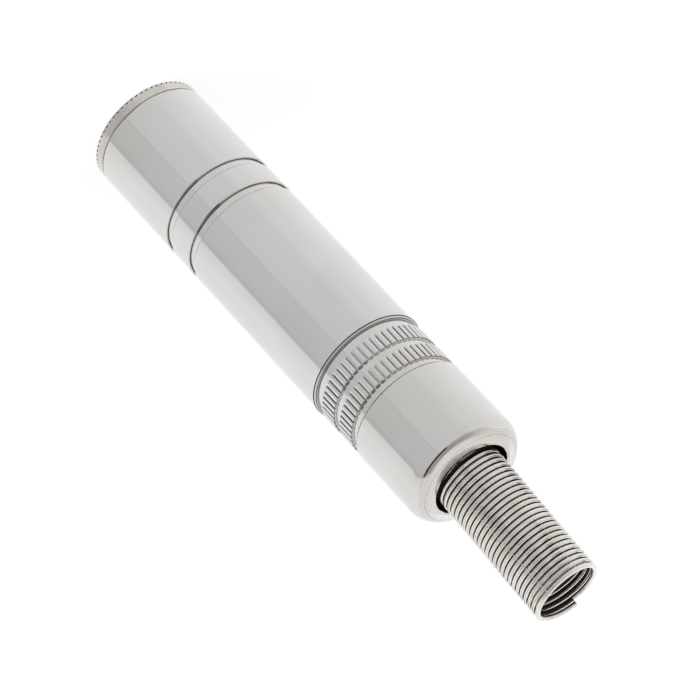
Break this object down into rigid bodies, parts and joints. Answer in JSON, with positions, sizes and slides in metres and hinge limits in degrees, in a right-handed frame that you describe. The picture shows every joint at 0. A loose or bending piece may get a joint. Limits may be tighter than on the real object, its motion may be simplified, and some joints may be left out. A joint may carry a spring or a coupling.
{
  "type": "inline stereo jack socket",
  "caption": "Turned metal inline stereo jack socket with a reeded mouth nut, two turned grooves, a knurled screw-on tail cap and a coil spring strain relief.",
  "frame": {"origin": "centre of the mouth nut's front face, which the socket stands on", "axes": "+Z along the socket's axis from the mouth to the cable end; +X on the side of the ring contact"},
  "size_m": [0.015, 0.015, 0.0826],
  "materials": {
    "nickel": "bright nickel plate on turned brass",
    "beige_nickel": "satin nickel plate with fine reeding",
    "steel": "zinc plated spring steel",
    "brass": "turned brass",
    "bronze": "rolled phosphor bronze",
    "tinned": "tinned brass strip",
    "black_plastic": "moulded black phenolic",
    "liner": "amber insulating sleeve",
    "spring_wire": "bright nickel plated spring wire"
  },
  "bodies": {
    "shell": {"barrel": "nickel", "mouth_nut": "beige_nickel", "lock_washer": "steel", "sleeve_bush": "brass", "contact_carrier": "black_plastic", "ring_tag": "tinned", "tip_tag": "tinned", "contact_rivets": "brass", "sleeve_tag": "tinned", "insulating_liner": "liner"},
    "ring_leaf": {"ring_leaf": "bronze"},
    "tip_leaf": {"tip_leaf": "bronze"},
    "strain_spring": {"strain_spring": "spring_wire"},
    "tail_cap": {"tail_cap": "nickel", "spring_retainer": "steel"}
  },
  "joints": [
    {"name": "ring_leaf_lift", "type": "hinge", "parent": "shell", "child": "ring_leaf", "pos_m": [0.00453, 0, 0.0375], "axis": [0, -1, 0], "range_deg": [0, 2]},
    {"name": "tip_leaf_lift", "type": "hinge", "parent": "shell", "child": "tip_leaf", "pos_m": [-0.00453, 0, 0.0375], "axis": [0, 1, 0], "range_deg": [0, 3]},
    {"name": "cap_travel", "type": "slide", "parent": "shell", "child": "strain_spring", "axis": [0, 0, 1], "range_m": [0, 0.006]},
    {"name": "cap_turn", "type": "hinge", "parent": "strain_spring", "child": "tail_cap", "pos_m": [0, 0, 0.064], "axis": [0, 0, 1], "range_deg": [0, 2880]}
  ],
  "couplings": [
    {"joint": "cap_turn", "follows": "cap_travel", "rad_per_m": 8377.5}
  ]
}
